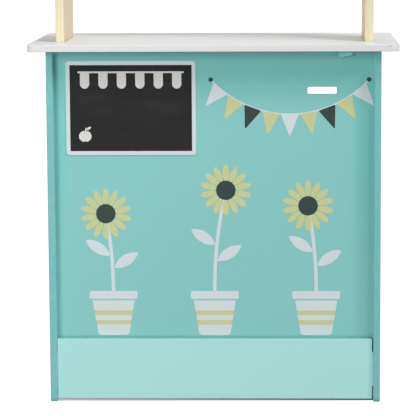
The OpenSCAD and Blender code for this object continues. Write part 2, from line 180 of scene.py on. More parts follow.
# The chalk drawing on the board: an awning above, and an apple in the lower left corner
AWNING_DROP = 14 * MM
AWNING_WIDTH = 184 * MM
BAR_HEIGHT = 3 * MM
TONGUE_COUNT = 6
TONGUE_PITCH = 32 * MM
TONGUE_WIDTH = 16 * MM
TONGUE_HEIGHT = 27 * MM
FRUIT_INSET = 26 * MM
APPLE_WIDTH = 22 * MM
APPLE_HEIGHT = 20 * MM
APPLE_DIP = 3 * MM
STALK_WIDTH = 2 * MM
STALK_HEIGHT = 8 * MM
STALK_LEAN = math.radians(12)
FRUIT_LEAF_LENGTH = 10 * MM
FRUIT_LEAF_WIDTH = 4.5 * MM

# How thick one film of ink or chalk is, and how finely its outlines are drawn
INK_FILM = 0.12 * MM
CORNER_STEPS = 8
BAND_STEPS = 32
LEAF_SIDES = 128
PETAL_SIDES = 28
SEEDS_SIDES = 48

# Tolerances of the meshes
MERGE = 0.001 * MM
NEAR = 0.02 * MM
FLAT = math.radians(0.5)
SHARP = math.radians(40)


def colour(red, green, blue):
    """Eight-bit display values as the linear colour that a shader takes."""
    parts = [part / 255 for part in (red, green, blue)]
    linear = [p / 12.92 if p <= 0.04045 else ((p + 0.055) / 1.055) ** 2.4 for p in parts]
    return (*linear, 1)


def shade(tint, amount):
    """A colour made lighter or darker by a factor."""
    return (*[part * amount for part in tint[:3]], 1)


# Colours of the finishes. The shade tint is what the teal is multiplied by, as painted shade on the
# front panel.
TEAL = colour(141, 208, 204)
TEAL_RIM = colour(115, 194, 194)
# The dark teal that paints contact shade into the creases above the kickboard and at the feet
TEAL_CREASE_SHADE = colour(58, 128, 122)
# The turn button's teal: paler than the panel's, and pale enough to stand in for the light it catches,
# as painted light
TEAL_PALE_LIT = colour(158, 240, 233)
TEAL_SHADE_TINT = (0.82, 0.98, 0.96, 1)
MINT = colour(180, 236, 231)
MINT_RIM = colour(162, 218, 214)
# The kickboard's narrow sides in a darker teal: painted shade for the shadow line along its top edge
KICK_RIM_SHADE = colour(112, 180, 175)
LACQUER = colour(224, 224, 224)
# The lacquer's narrow sides are lighter than its top: painted light on the countertop's front edge
LACQUER_RIM_LIT = colour(232, 232, 232)
LACQUER_CHIP = colour(188, 188, 186)
PINE_EDGE = colour(233, 227, 193)
PINE_EDGE_LINE = colour(221, 208, 162)
PINE_FACE = colour(222, 205, 179)
PINE_GREY_FACE = colour(221, 208, 190)
PINE_FACE_LINE = colour(207, 178, 140)
BEECH = colour(214, 182, 140)
PRIMER = colour(214, 222, 214)
SLATE = colour(35, 35, 36)
SLATE_DEEP = shade(SLATE, 0.83)
CHALK = colour(226, 226, 222)
BORDER_WHITE = colour(216, 229, 233)
INK_WHITE = colour(217, 229, 231)
INK_YELLOW = colour(207, 211, 150)
INK_DARK = colour(31, 42, 36)
STEEL = colour(196, 198, 202)
NYLON = colour(222, 224, 220)
PAPER_BASE = colour(70, 70, 70)
WHITE = (1, 1, 1, 1)
BLACK = (0, 0, 0, 1)


class Wire:
    """What comes out of a node. Python's operators on a number add Math nodes."""

    def __init__(self, finish, socket):
        self.finish = finish
        self.socket = socket

    def math(self, operation, first, second):
        return self.finish.node("ShaderNodeMath", {"operation": operation}, {0: first, 1: second})

    def __abs__(self):
        return self.math("ABSOLUTE", self, 0)

    def __add__(self, other):
        return self.math("ADD", self, other)

    def __radd__(self, other):
        return self.math("ADD", other, self)

    def __sub__(self, other):
        return self.math("SUBTRACT", self, other)

    def __rsub__(self, other):
        return self.math("SUBTRACT", other, self)

    def __mul__(self, other):
        return self.math("MULTIPLY", self, other)

    def __rmul__(self, other):
        return self.math("MULTIPLY", other, self)

    def __truediv__(self, other):
        return self.math("DIVIDE", self, other)

    def __rtruediv__(self, other):
        return self.math("DIVIDE", other, self)

    def __pow__(self, other):
        return self.math("POWER", self, other)

    def __rpow__(self, other):
        return self.math("POWER", other, self)

    def __mod__(self, other):
        return self.math("FLOORED_MODULO", self, other)

    def __rmod__(self, other):
        return self.math("FLOORED_MODULO", other, self)


class Finish:
    """A material: a Principled shader, and the nodes that feed it."""

    def __init__(self, name, constants):
        self.material = bpy.data.materials.new(name)
        self.material.use_nodes = True
        self.tree = self.material.node_tree
        self.shader = self.tree.nodes["Principled BSDF"]
        for socket, value in constants.items():
            self.shader.inputs[socket].default_value = value

    def node(self, kind, settings, inputs, output=0):
        """Adds a node, sets it and connects it, and returns the wire from one of its outputs."""
        made = self.tree.nodes.new(kind)
        for name, setting in settings.items():
            setattr(made, name, setting)
        for name, value in inputs.items():
            self.connect(value, made.inputs[name])
        return Wire(self, made.outputs[output])

    def connect(self, value, socket):
        """Links a wire to a socket, or sets the socket to a plain value."""
        if isinstance(value, Wire):
            self.tree.links.new(value.socket, socket)
        else:
            socket.default_value = value

    def feed(self, socket, wire):
        """Links a wire to one of the shader's own sockets."""
        self.connect(wire, self.shader.inputs[socket])

    def place(self):
        """Coordinates in metres in the piece's own frame."""
        return self.node("ShaderNodeTexCoord", {}, {}, "Object")

    def stretched(self, place, scale, turn=(0, 0, 0)):
        """Coordinates that are turned and then stretched along each axis."""
        return self.node("ShaderNodeMapping", {}, {"Vector": place, "Rotation": turn, "Scale": scale})

    def drawn_out(self, place, axis, along, across):
        """Coordinates for a noise with so many cells in a metre along an axis and across it."""
        scale = [across] * 3
        scale[axis] = along
        return self.stretched(place, scale)

    def axes(self, place):
        """Coordinates as three numbers, one for each axis."""
        return [self.node("ShaderNodeSeparateXYZ", {}, {0: place}, axis) for axis in "XYZ"]

    def noise(self, place, cells=1, detail=2, rough=0.5):
        """Noise with so many cells in a unit of the coordinates."""
        sockets = {"Vector": place, "Scale": cells, "Detail": detail, "Roughness": rough}
        return self.node("ShaderNodeTexNoise", {}, sockets)

    def window(self, value, low, high):
        """0 below low, 1 above high, and smooth between them."""
        sockets = {"Value": value, "From Min": low, "From Max": high}
        return self.node("ShaderNodeMapRange", {"interpolation_type": "SMOOTHSTEP"}, sockets)

    def mix(self, share, first, second, blend="MIX"):
        """The first colour where share is 0 and the second, or both blended, where it is 1."""
        settings = {"data_type": "RGBA", "blend_type": blend}
        return self.node("ShaderNodeMix", settings, {0: share, 6: first, 7: second}, 2)

    def mark(self, name):
        """1 where the modelling marked an arris, a rim or a crease, and 0 elsewhere."""
        return self.node("ShaderNodeAttribute", {"attribute_name": name}, {}, "Fac")

    def relief(self, height, depth):
        """Makes the surface look raised, by so much depth where the height is 1."""
        self.feed("Normal", self.node("ShaderNodeBump", {}, {"Height": height, "Distance": depth}))


def between(low, high, share):
    """The number that lies as far from low to high as share says."""
    return low + (high - low) * share


def sprayed_paint(name, tint, rim_tint, roughness=0.46, arris_wear_and_shade=0.1, chip=None, shade_painted=False):
    """Sprayed paint on board, with cut edges of another tone and thin paint on the arrises.

    Its tone drifts slowly, with flecks and stipple. A chip is a point in the frame. Marked creases get
    painted contact shade, and with shade_painted the teal deepens in places as painted shade.
    """
    finish = Finish(name, {"Specular IOR Level": 0.25})
    place = finish.place()
    drift = finish.noise(place, cells=5, detail=3)
    fleck = finish.noise(place, cells=1300)
    stipple = finish.noise(place, cells=520, detail=3)
    blotches = finish.noise(place, cells=55, detail=5, rough=0.65)
    patchy = finish.window(blotches, low=0.42, high=0.7)
    rim = finish.mark("rim")
    tone = finish.mix(drift, shade(tint, 0.965), shade(tint, 1.035))
    flecked = 0.5 * finish.window(fleck, low=0.3, high=0.75)
    tone = finish.mix(flecked, tone, shade(tint, 0.95))
    # Narrow sides take the rim tint: soaked-in paint on teal and mint, painted shade on the kickboard,
    # painted light on the lacquer
    rim_soak_light_and_shade = rim * between(0.7, 1, stipple)
    tone = finish.mix(rim_soak_light_and_shade, tone, rim_tint)
    # Painted contact shade: a dark teal strip in the marked creases, above the kickboard and at the
    # feet
    crease_shaded = CREASE_SHADE * finish.mark("crease") * between(0.7, 1, patchy)
    tone = finish.mix(crease_shaded, tone, TEAL_CREASE_SHADE)
    # Painted shade: the teal deepens under the countertop and beside the side panels, where shade falls
    if shade_painted:
        aside, _, level = finish.axes(place)
        unshaded = 1 - finish.window(level, *TOP_PAINTED_SHADE)
        for side_shade in SIDE_PAINTED_SHADES:
            beside = finish.window(side_shade["side"] * aside, *side_shade["near"])
            unshaded = unshaded * (1 - beside * finish.window(level, *side_shade["rise"]))
        tone = finish.mix(1 - unshaded, tone, TEAL_SHADE_TINT, "MULTIPLY")
    if chip:
        measure = {"operation": "DISTANCE"}
        apart = finish.node("ShaderNodeVectorMath", measure, {0: place, 1: chip}, "Value")
        chipped = 1 - finish.window(apart, low=CHIP_SIZE / 4, high=CHIP_SIZE / 2)
        tone = finish.mix(chipped, tone, LACQUER_CHIP)
    # Arris wear shows primer; on the lacquer it is also painted shade that dulls the arris highlight
    worn_and_shaded = arris_wear_and_shade * finish.mark("arris") * between(0.25, 1, patchy)
    stippled = between(roughness - 0.06, roughness + 0.06, stipple)
    finish.feed("Base Color", finish.mix(worn_and_shaded, tone, PRIMER))
    finish.feed("Roughness", stippled + 0.1 * worn_and_shaded + 0.08 * rim)
    finish.relief(stipple + 0.35 * fleck, depth=0.09 * MM)
    return finish.material


def pine_timber(name, along, pith, face=PINE_FACE):
    """Planed pine: year rings round a pith line, fibres along the grain, paler on the narrow sides."""
    finish = Finish(name, {"Specular IOR Level": 0.35})
    place = finish.place()
    wander = finish.noise(finish.drawn_out(place, along, along=1.6, across=22), detail=3)
    fibre = finish.noise(finish.drawn_out(place, along, along=18, across=1500), detail=3, rough=0.6)
    drift = finish.noise(place, cells=3.5)
    parts = finish.axes(place)
    grain = parts.pop(along)
    first, second = [part - middle for part, middle in zip(parts, pith)]
    radius = (first * first + second * second) ** 0.5
    ring = ((radius + RING_TAPER * grain + RING_WANDER * wander) / RING_PITCH) % 1.0
    late = finish.window(ring, *LATE_WOOD) * (1 - finish.window(ring, *RING_END))
    rim = finish.mark("rim")
    line = finish.mix(rim, PINE_FACE_LINE, PINE_EDGE_LINE)
    tone = finish.mix(0.5 * late, finish.mix(rim, face, PINE_EDGE), line)
    streaked = 0.3 * finish.window(fibre, low=0.45, high=0.8)
    tone = finish.mix(streaked, tone, line)
    clouded = 0.15 * finish.window(drift, low=0.3, high=0.7)
    tone = finish.mix(clouded, tone, line)
    finish.feed("Base Color", tone)
    finish.feed("Roughness", between(0.44, 0.6, fibre) - 0.06 * late)
    finish.relief(0.5 * late + 0.8 * fibre, depth=0.06 * MM)
    return finish.material


def turned_beech(name):
    """Dowel stock: short brown flecks along a plain pale ground."""
    finish = Finish(name, {"Specular IOR Level": 0.3})
    flecks = finish.noise(finish.drawn_out(finish.place(), X, along=160, across=900), detail=3)
    flecked = finish.window(flecks, low=0.5, high=0.75)
    finish.feed("Base Color", finish.mix(flecked, BEECH, shade(BEECH, 0.72)))
    finish.feed("Roughness", between(0.525, 0.675, flecks))
    finish.relief(flecks, depth=0.05 * MM)
    return finish.material


def slate_paint(name):
    """Chalkboard paint with the haze of wiped chalk, in slanting strokes, and a dry grain."""
    finish = Finish(name, {"Specular IOR Level": 0.25})
    place = finish.place()
    strokes = finish.stretched(place, scale=(9, 9, 95), turn=(0, WIPE_SLANT, 0))
    wiped = finish.window(finish.noise(strokes, detail=4, rough=0.6), low=0.46, high=0.78)
    clouds = finish.window(finish.noise(place, cells=14, detail=3), low=0.35, high=0.75)
    grain = finish.noise(place, cells=1600, detail=3, rough=0.7)
    dust = wiped * clouds * between(0.4, 1, grain)
    haze = 0.026 * dust + 0.006 * clouds
    finish.feed("Base Color", finish.mix(haze, SLATE_DEEP, CHALK))
    finish.feed("Roughness", between(0.73, 0.83, grain) + 0.12 * dust)
    finish.relief(grain, depth=0.06 * MM)
    return finish.material


def printed_ink(name, tint, ground):
    """Screen-printed ink: a thin film with a faint mesh grain, and pinholes that show the ground."""
    finish = Finish(name, {"Specular IOR Level": 0.4})
    place = finish.place()
    drift = finish.noise(place, cells=9, detail=3)
    grain = finish.noise(place, cells=1500, detail=3, rough=0.6)
    pinholes = finish.window(finish.noise(place, cells=700), low=0.7, high=0.78)
    tone = finish.mix(drift, shade(tint, 0.96), shade(tint, 1.03))
    thin = 0.3 * pinholes + 0.06 * grain
    finish.feed("Base Color", finish.mix(thin, tone, ground))
    finish.feed("Roughness", between(0.39, 0.53, grain))
    finish.relief(grain - pinholes, depth=0.03 * MM)
    return finish.material


def chalk_marks(name):
    """Printed chalk: white that breaks up where the board's grain shows through."""
    finish = Finish(name, {"Specular IOR Level": 0.15})
    grain = finish.noise(finish.place(), cells=620, detail=4, rough=0.75)
    bare = 0.55 * finish.window(grain, low=0.56, high=0.7)
    finish.feed("Base Color", finish.mix(bare, CHALK, SLATE))
    finish.feed("Roughness", between(0.8, 0.9, grain))
    finish.relief(grain, depth=0.05 * MM)
    return finish.material


def border_film(name):
    """White plastic film with a soft sheen and fine scuffs."""
    finish = Finish(name, {"Specular IOR Level": 0.45})
    place = finish.place()
    drift = finish.noise(place, cells=12)
    scratches = finish.noise(finish.drawn_out(place, Z, along=700, across=30), detail=3)
    scuffs = finish.window(scratches, low=0.62, high=0.74)
    tone = finish.mix(drift, shade(BORDER_WHITE, 0.97), BORDER_WHITE)
    finish.feed("Base Color", finish.mix(0.12 * scuffs, tone, shade(BORDER_WHITE, 0.7)))
    finish.feed("Roughness", between(0.38, 0.58, scuffs))
    finish.relief(scuffs, depth=0.02 * MM)
    return finish.material


def zinc_plate(name):
    """Bright zinc on steel: fine turning lines and cloudy passivation."""
    finish = Finish(name, {"Metallic": 1.0})
    place = finish.place()
    clouds = finish.noise(place, cells=260, detail=3)
    lines = finish.noise(finish.drawn_out(place, X, along=6000, across=900))
    finish.feed("Base Color", finish.mix(clouds, shade(STEEL, 0.86), STEEL))
    finish.feed("Roughness", between(0.17, 0.33, clouds) + 0.1 * lines)
    finish.relief(lines, depth=0.01 * MM)
    return finish.material


def moulded_nylon(name):
    """Natural nylon with a faint moulded grain."""
    finish = Finish(name, {"Specular IOR Level": 0.4})
    grain = finish.noise(finish.place(), cells=2200, detail=3)
    finish.feed("Base Color", finish.mix(grain, shade(NYLON, 0.93), NYLON))
    finish.feed("Roughness", between(0.35, 0.49, grain))
    finish.relief(grain, depth=0.03 * MM)
    return finish.material


def studio_paper(name):
    """Paper under and behind the stall that stays white in any light, with a shade under the stall."""
    finish = Finish(name, {"Emission Strength": 1.0, "Roughness": 0.9})
    place = finish.place()
    grain = finish.noise(place, cells=40, detail=3)
    aside, back, _ = finish.axes(place)
    lean = aside / SHADE_HALF
    beyond = finish.window(abs(aside), SHADE_HALF - SHADE_SIDE_EDGE, SHADE_HALF)
    front = finish.window(back, SHADE_FRONT - SHADE_FRONT_EDGE + SHADE_EDGE_LEAN * lean, SHADE_FRONT)
    rear = finish.window(back, SHADE_REAR - SHADE_REAR_EDGE, SHADE_REAR)
    under = (SHADE_DEPTH + SHADE_DEPTH_LEAN * lean) * (1 - beyond) * front * (1 - rear)
    paper = finish.mix(grain, shade(PAPER_BASE, 0.99), PAPER_BASE)
    finish.feed("Base Color", finish.mix(under, paper, BLACK))
    finish.feed("Emission Color", finish.mix(under, WHITE, BLACK))
    return finish.material


def only(*objects):
    """Selects these objects alone, with the first one active."""
    bpy.ops.object.select_all(action="DESELECT")
    for obj in objects:
        obj.select_set(True)
    bpy.context.view_layer.objects.active = objects[0]


def edit(piece):
    """Opens a piece for editing with all of it selected."""
    only(piece)
    bpy.ops.object.mode_set(mode="EDIT")
    bpy.ops.mesh.select_mode(type="EDGE")
    bpy.ops.mesh.select_all(action="SELECT")


def leave_edit():
    """Closes the editing, which brings the piece's mesh up to date."""
    bpy.ops.object.mode_set(mode="OBJECT")


def apply_modifier(piece, kind, **settings):
    """Adds a modifier with these settings to a piece and applies it."""
    only(piece)
    modifier = piece.modifiers.new(kind.lower(), kind)
    for name, setting in settings.items():
        setattr(modifier, name, setting)
    bpy.ops.object.modifier_apply(modifier=modifier.name)


def board_from(node):
    """A copy of a CAD board with its loose triangles merged into whole faces."""
    piece = bpy.data.objects.new(node + "_finished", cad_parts[node].data.copy())
    bpy.context.scene.collection.objects.link(piece)
    edit(piece)
    bpy.ops.mesh.remove_doubles(threshold=MERGE)
    bpy.ops.mesh.dissolve_limited(angle_limit=FLAT)
    bpy.ops.mesh.customdata_custom_splitnormals_clear()
    bpy.ops.mesh.select_all(action="DESELECT")
    leave_edit()
    piece.data.materials.clear()
    piece.data.attributes.new("arris", "FLOAT", "POINT")
    return piece


def box_of(piece):
    """A piece's lowest and highest corner."""
    corners = [Vector(corner) for corner in piece.bound_box]
    return Vector(map(min, *corners)), Vector(map(max, *corners))


def thin_axis(piece):
    """The axis along which a board is thinnest."""
    low, high = box_of(piece)
    return min(range(3), key=lambda axis: high[axis] - low[axis])


def outline_of(piece, corner=0.0):
    """A test for points on the rim of a board whose corners have this radius."""
    low, high = box_of(piece)
    size = high - low
    middle = (low + high) / 2
    thin = thin_axis(piece)
    flat = [axis for axis in range(3) if axis != thin]

    def on_rim(point):
        depth = abs(abs(point[thin] - middle[thin]) - size[thin] / 2)
        past = [abs(point[axis] - middle[axis]) - size[axis] / 2 + corner for axis in flat]
        gap = math.hypot(max(past[0], 0), max(past[1], 0)) + min(max(past), 0) - corner
        return depth < NEAR and abs(gap) < NEAR

    return on_rim


def any_point(point):
    """A test that chooses every point."""
    return True


def ease(piece, width, chosen):
    """Rounds the sharp edges whose two ends are chosen, and marks the new faces as arris."""
    mesh = piece.data
    normals = {}
    for face in mesh.polygons:
        for key in face.edge_keys:
            normals.setdefault(key, []).append(face.normal)
    for part in (mesh.vertices, mesh.edges, mesh.polygons):
        part.foreach_set("select", [False] * len(part))
    for edge in mesh.edges:
        first, second = normals[tuple(sorted(edge.vertices))]
        sharp = first.dot(second) < math.cos(SHARP)
        edge.select = sharp and all(chosen(mesh.vertices[end].co) for end in edge.vertices)
    only(piece)
    bpy.ops.object.mode_set(mode="EDIT")
    bpy.ops.mesh.select_mode(type="EDGE")
    bpy.ops.mesh.bevel(offset=width, segments=ARRIS_STEPS, affect="EDGES",
                       loop_slide=False, clamp_overlap=False)
    leave_edit()
    inside = [True] * len(mesh.vertices)
    for face in mesh.polygons:
        if not face.select:
            for end in face.vertices:
                inside[end] = False
    marks = mesh.attributes["arris"].data
    for end, within in enumerate(inside):
        if within:
            marks[end].value = 1.0


def mark_rim(piece):
    """Marks the faces on a board's narrow sides."""
    thin = thin_axis(piece)
    marks = piece.data.attributes.new("rim", "FLOAT", "FACE").data
    for face, mark in zip(piece.data.polygons, marks):
        mark.value = float(abs(face.normal[thin]) < math.cos(SHARP))


def mark_crease(piece, level, chosen):
    """Marks the chosen points of a board up to a level. The mark fades out over the strip above."""
    for height in (level, level + CREASE_HEIGHT):
        edit(piece)
        bpy.ops.mesh.bisect(plane_co=(0, 0, height), plane_no=(0, 0, 1))
        leave_edit()
    marks = piece.data.attributes.new("crease", "FLOAT", "POINT").data
    for point, mark in zip(piece.data.vertices, marks):
        mark.value = float(point.co.z < level + NEAR and chosen(point.co))


def settle(piece):
    """Smooth shading over the eased edges, with the flat faces left flat."""
    only(piece)
    bpy.ops.object.shade_smooth_by_angle(angle=SHARP)
    apply_modifier(piece, "WEIGHTED_NORMAL", keep_sharp=True, weight=100)


def fit(piece, finish, slot, body, *nodes):
    """Gives a piece its finish, and lets it ride in place of CAD nodes; the slot is not used."""
    piece.data.materials.append(finish)
    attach(piece, body)
    if nodes:
        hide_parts(*nodes)


def finished_board(node, finish, slot, arris, corner):
    """A CAD board with eased edges and marked narrow sides, and painted contact shade at its feet if it
    stands.
    """
    piece = board_from(node)
    ease(piece, arris, outline_of(piece, corner))
    if node in STANDING:
        # Marks the feet for painted contact shade
        mark_crease(piece, arris, any_point)
    mark_rim(piece)
    settle(piece)
    fit(piece, finish, slot, STALL, node)


teal = sprayed_paint("teal_paint", TEAL, TEAL_RIM)
# The front panel's paint carries painted shade where the countertop and the side panels shade it
front_teal = sprayed_paint("front_paint", TEAL, TEAL_RIM, shade_painted=True)
# The button's paler teal is also painted light, for the light it catches standing forward under the
# countertop
button_teal = sprayed_paint("button_paint", TEAL_PALE_LIT, TEAL_PALE_LIT, roughness=0.42)
mint = sprayed_paint("mint_paint", MINT, MINT_RIM)
# The kickboard's darker rim is painted shade
kick_mint = sprayed_paint("kick_paint", MINT, KICK_RIM_SHADE, arris_wear_and_shade=0.05)
# The lacquer's lighter rim is painted light, and its arris wear is partly painted shade over the arris
# highlight
lacquer = sprayed_paint("white_lacquer", LACQUER, LACQUER_RIM_LIT, roughness=0.36, arris_wear_and_shade=0.35,
                        chip=CHIP_PLACE)
left_pine = pine_timber("left_pine", Z, pith=(-220 * MM, -60 * MM))
right_pine = pine_timber("right_pine", Z, pith=(235 * MM, 30 * MM), face=PINE_GREY_FACE)
rail_pine = pine_timber("rail_pine", X, pith=(90 * MM, 1170 * MM))
cleat_pine = pine_timber("cleat_pine", Y, pith=(0, 580 * MM))
beech = turned_beech("beech_dowel")
slate = slate_paint("chalkboard_slate")
film = border_film("border_film")
zinc = zinc_plate("zinc_steel")
nylon = moulded_nylon("nylon")
white_ink = printed_ink("white_ink", INK_WHITE, TEAL)
yellow_ink = printed_ink("yellow_ink", INK_YELLOW, TEAL)
dark_ink = printed_ink("dark_ink", INK_DARK, TEAL)
chalk = chalk_marks("chalk_marks")

# Each board's finish, record slot, arris and corner radius
BOARDS = {
    "countertop": (lacquer, "white_lacquer", TOP_ARRIS, TOP_CORNER),
    "left_side_panel": (teal, "teal_paint", PANEL_ARRIS, 0),
    "right_side_panel": (teal, "teal_paint", PANEL_ARRIS, 0),
    "kickboard": (kick_mint, "mint_paint", BOARD_ARRIS, 0),
    "left_upright": (left_pine, "pine", TIMBER_ARRIS, 0),
    "right_upright": (right_pine, "pine", TIMBER_ARRIS, 0),
    "header_board": (mint, "mint_paint", BOARD_ARRIS, HEADER_CORNER),
    "tie_rail": (rail_pine, "pine", TIMBER_ARRIS, 0),
    "mid_shelf": (lacquer, "white_lacquer", BOARD_ARRIS, 0),
    "bottom_shelf": (lacquer, "white_lacquer", BOARD_ARRIS, 0),
    "back_rail": (lacquer, "white_lacquer", BOARD_ARRIS, 0),
    "left_top_cleat": (cleat_pine, "pine", BOARD_ARRIS, 0),
    "right_top_cleat": (cleat_pine, "pine", BOARD_ARRIS, 0),
}
for board, facts in BOARDS.items():
    finished_board(board, *facts)

face_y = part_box("front_panel")[0].y
kick_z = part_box("kickboard")[1].z


def near_slot(point):
    """True on the front rim of the card slot."""
    aside = abs(point.x - SLOT_MIDDLE[0]) < SLOT_SIZE[0] / 2 + NEAR
    level = abs(point.z - SLOT_MIDDLE[1]) < SLOT_SIZE[1] / 2 + NEAR
    return aside and level and abs(point.y - face_y) < NEAR


def above_kickboard(point):
    """True on the front panel's face where it meets the kickboard's top."""
    return abs(point.z - kick_z) < NEAR and abs(point.y - face_y) < NEAR


front_panel = board_from("front_panel")
ease(front_panel, SLOT_ARRIS, near_slot)
# Marks the strip above the kickboard for painted contact shade
mark_crease(front_panel, kick_z, above_kickboard)
settle(front_panel)
fit(front_panel, front_teal, "teal_paint", STALL, "front_panel")

border = board_from("chalkboard_frame")
ease(border, BORDER_ARRIS, outline_of(border, BORDER_CORNER))
settle(border)
fit(border, film, "white_border", STALL, "chalkboard_frame")

turn_button = board_from("turn_button")
ease(turn_button, BUTTON_ARRIS, any_point)
settle(turn_button)
fit(turn_button, button_teal, "teal_paint", BUTTON, "turn_button")


def keep_place(piece):
    """Puts a flat shape's place into its mesh."""
    only(piece)
    bpy.ops.object.transform_apply(location=True, rotation=True, scale=True)
    return piece


def flat_plate(width, height, foot=0.0):
    """A flat rectangle that faces the customer, centred over the origin, with its foot at a level."""
    bpy.ops.mesh.primitive_plane_add(size=1, location=(0, 0, foot + height / 2),
                                     rotation=(FACING, 0, 0))
    bpy.context.object.scale = (width, height, 1)
    return keep_place(bpy.context.object)


def flat_disc(width, height, sides, level=0.0):
    """A flat round or oval that faces the customer, with its middle at a level above the origin."""
    bpy.ops.mesh.primitive_circle_add(vertices=sides, radius=0.5, fill_type="NGON",
                                      location=(0, 0, level), rotation=(FACING, 0, 0))
    bpy.context.object.scale = (width, height, 1)
    return keep_place(bpy.context.object)


def choose(piece, chosen):
    """Opens a piece for editing with only the chosen points selected."""
    edit(piece)
    bpy.ops.mesh.select_mode(type="VERT")
    bpy.ops.mesh.select_all(action="DESELECT")
    leave_edit()
    for point in piece.data.vertices:
        point.select = chosen(point.co)
    bpy.ops.object.mode_set(mode="EDIT")


def round_corners(piece, radius, chosen):
    """Rounds the chosen corners of a flat shape."""
    choose(piece, chosen)
    bpy.ops.mesh.bevel(offset=radius, segments=CORNER_STEPS, affect="VERTICES")
    leave_edit()
    return piece


def trim(piece, low, high):
    """Keeps the part of a flat shape that lies between two heights."""
    for level, above in ((low, True), (high, False)):
        edit(piece)
        bpy.ops.mesh.bisect(plane_co=(0, 0, level), plane_no=(0, 0, 1),
                            clear_inner=above, clear_outer=not above)
        leave_edit()
    return piece


def copy_of(piece, aside=0.0, level=0.0, turn=0.0):
    """A copy with its own mesh, turned clockwise about the origin and then moved."""
    twin = piece.copy()
    twin.data = piece.data.copy()
    bpy.context.scene.collection.objects.link(twin)
    twin.rotation_euler = (0, turn, 0)
    twin.location = (aside, 0, level)
    return keep_place(twin)


def discard(*pieces):
    """Removes shapes that only served for copies."""
    for piece in pieces:
        bpy.data.objects.remove(piece)


def arc_band(width, radius, sweep):
    """A flat band round the origin, from the left over the top, as far as the sweep."""
    band = flat_plate(width, width)
    choose(band, lambda point: point.z > width / 2)
    bpy.ops.mesh.delete(type="VERT")
    bpy.ops.mesh.select_all(action="SELECT")
    bpy.ops.mesh.spin(steps=BAND_STEPS, angle=sweep, center=(radius, 0, 0), axis=(0, -1, 0))
    leave_edit()
    band.location.x = -radius
    return keep_place(band)


def leaf_shape(length, width):
    """A leaf with two pointed ends, its stalk at the origin, lying to the right."""
    half = length / 2
    bulge = width / 2
    radius = (half * half + bulge * bulge) / (2 * bulge)
    leaf = flat_disc(2 * radius, 2 * radius, LEAF_SIDES, bulge - radius)
    trim(leaf, 0, bulge + radius)
    apply_modifier(leaf, "MIRROR", use_axis=(False, False, True), merge_threshold=NEAR)
    leaf.location.x = half
    return keep_place(leaf)


def petal_ring(count, length, width, inner):
    """Oval petals in a ring round the origin, each cut where it meets its neighbours."""
    ring = flat_disc(width, length, PETAL_SIDES, inner + length / 2)
    half = math.pi / count
    for side in (-1, 1):
        edit(ring)
        bpy.ops.mesh.bisect(plane_co=(0, 0, 0), plane_no=(side * math.cos(half), 0, -math.sin(half)),
                            clear_outer=True)
        leave_edit()
    edit(ring)
    bpy.ops.mesh.spin(steps=count - 1, angle=math.tau * (count - 1) / count, dupli=True,
                      center=(0, 0, 0), axis=(0, 1, 0))
    bpy.ops.mesh.select_all(action="SELECT")
    bpy.ops.mesh.remove_doubles(threshold=MERGE)
    leave_edit()
    return ring


def print_film(name, shapes, finish, face, films, slot=None):
    """Joins flat shapes into one printed layer on a face, as thick as so many films of ink."""
    only(*shapes)
    bpy.ops.object.join()
    layer = bpy.context.object
    layer.name = name
    layer.data.name = name
    layer.location.y = face
    keep_place(layer)
    edit(layer)
    bpy.ops.mesh.normals_make_consistent(inside=False)
    leave_edit()
    for patch in layer.data.polygons:
        if patch.normal.y > 0:
            patch.flip()
    apply_modifier(layer, "SOLIDIFY", thickness=films * INK_FILM, offset=1)
    fit(layer, finish, slot, STALL)


def flag_shape():
    """A pennant that hangs from the origin."""
    flag = flat_plate(FLAG_WIDTH, FLAG_HEIGHT, -FLAG_HEIGHT)
    choose(flag, lambda point: point.z < -FLAG_HEIGHT / 2)
    bpy.ops.mesh.merge(type="CENTER")
    leave_edit()
    return round_corners(flag, FLAG_CORNER, any_point)


def pot_shape():
    """A flower pot's body, standing on the origin and narrower at its foot."""
    pot = flat_plate(POT_WIDTH, POT_HEIGHT)
    choose(pot, lambda point: point.z < POT_HEIGHT / 2)
    bpy.ops.transform.resize(value=(POT_FOOT / POT_WIDTH, 1, 1))
    leave_edit()
    return round_corners(pot, POT_CORNER, lambda point: point.z < POT_HEIGHT / 2)


def tongue_shape():
    """One tongue of an awning, round at its lower end."""
    tongue = flat_plate(TONGUE_WIDTH, TONGUE_HEIGHT, -TONGUE_HEIGHT)
    return round_corners(tongue, TONGUE_WIDTH / 2 - NEAR, lambda point: point.z < -TONGUE_HEIGHT / 2)


def apple_shape():
    """An apple with a dip above and a smaller one below."""
    apple = flat_disc(APPLE_WIDTH, APPLE_HEIGHT, PETAL_SIDES)
    for end, dip in ((1, APPLE_DIP), (-1, APPLE_DIP / 2)):
        choose(apple, lambda point: point.z * end > APPLE_HEIGHT / 2 - NEAR)
        bpy.ops.transform.translate(value=(0, 0, -end * dip))
        leave_edit()
    return apple


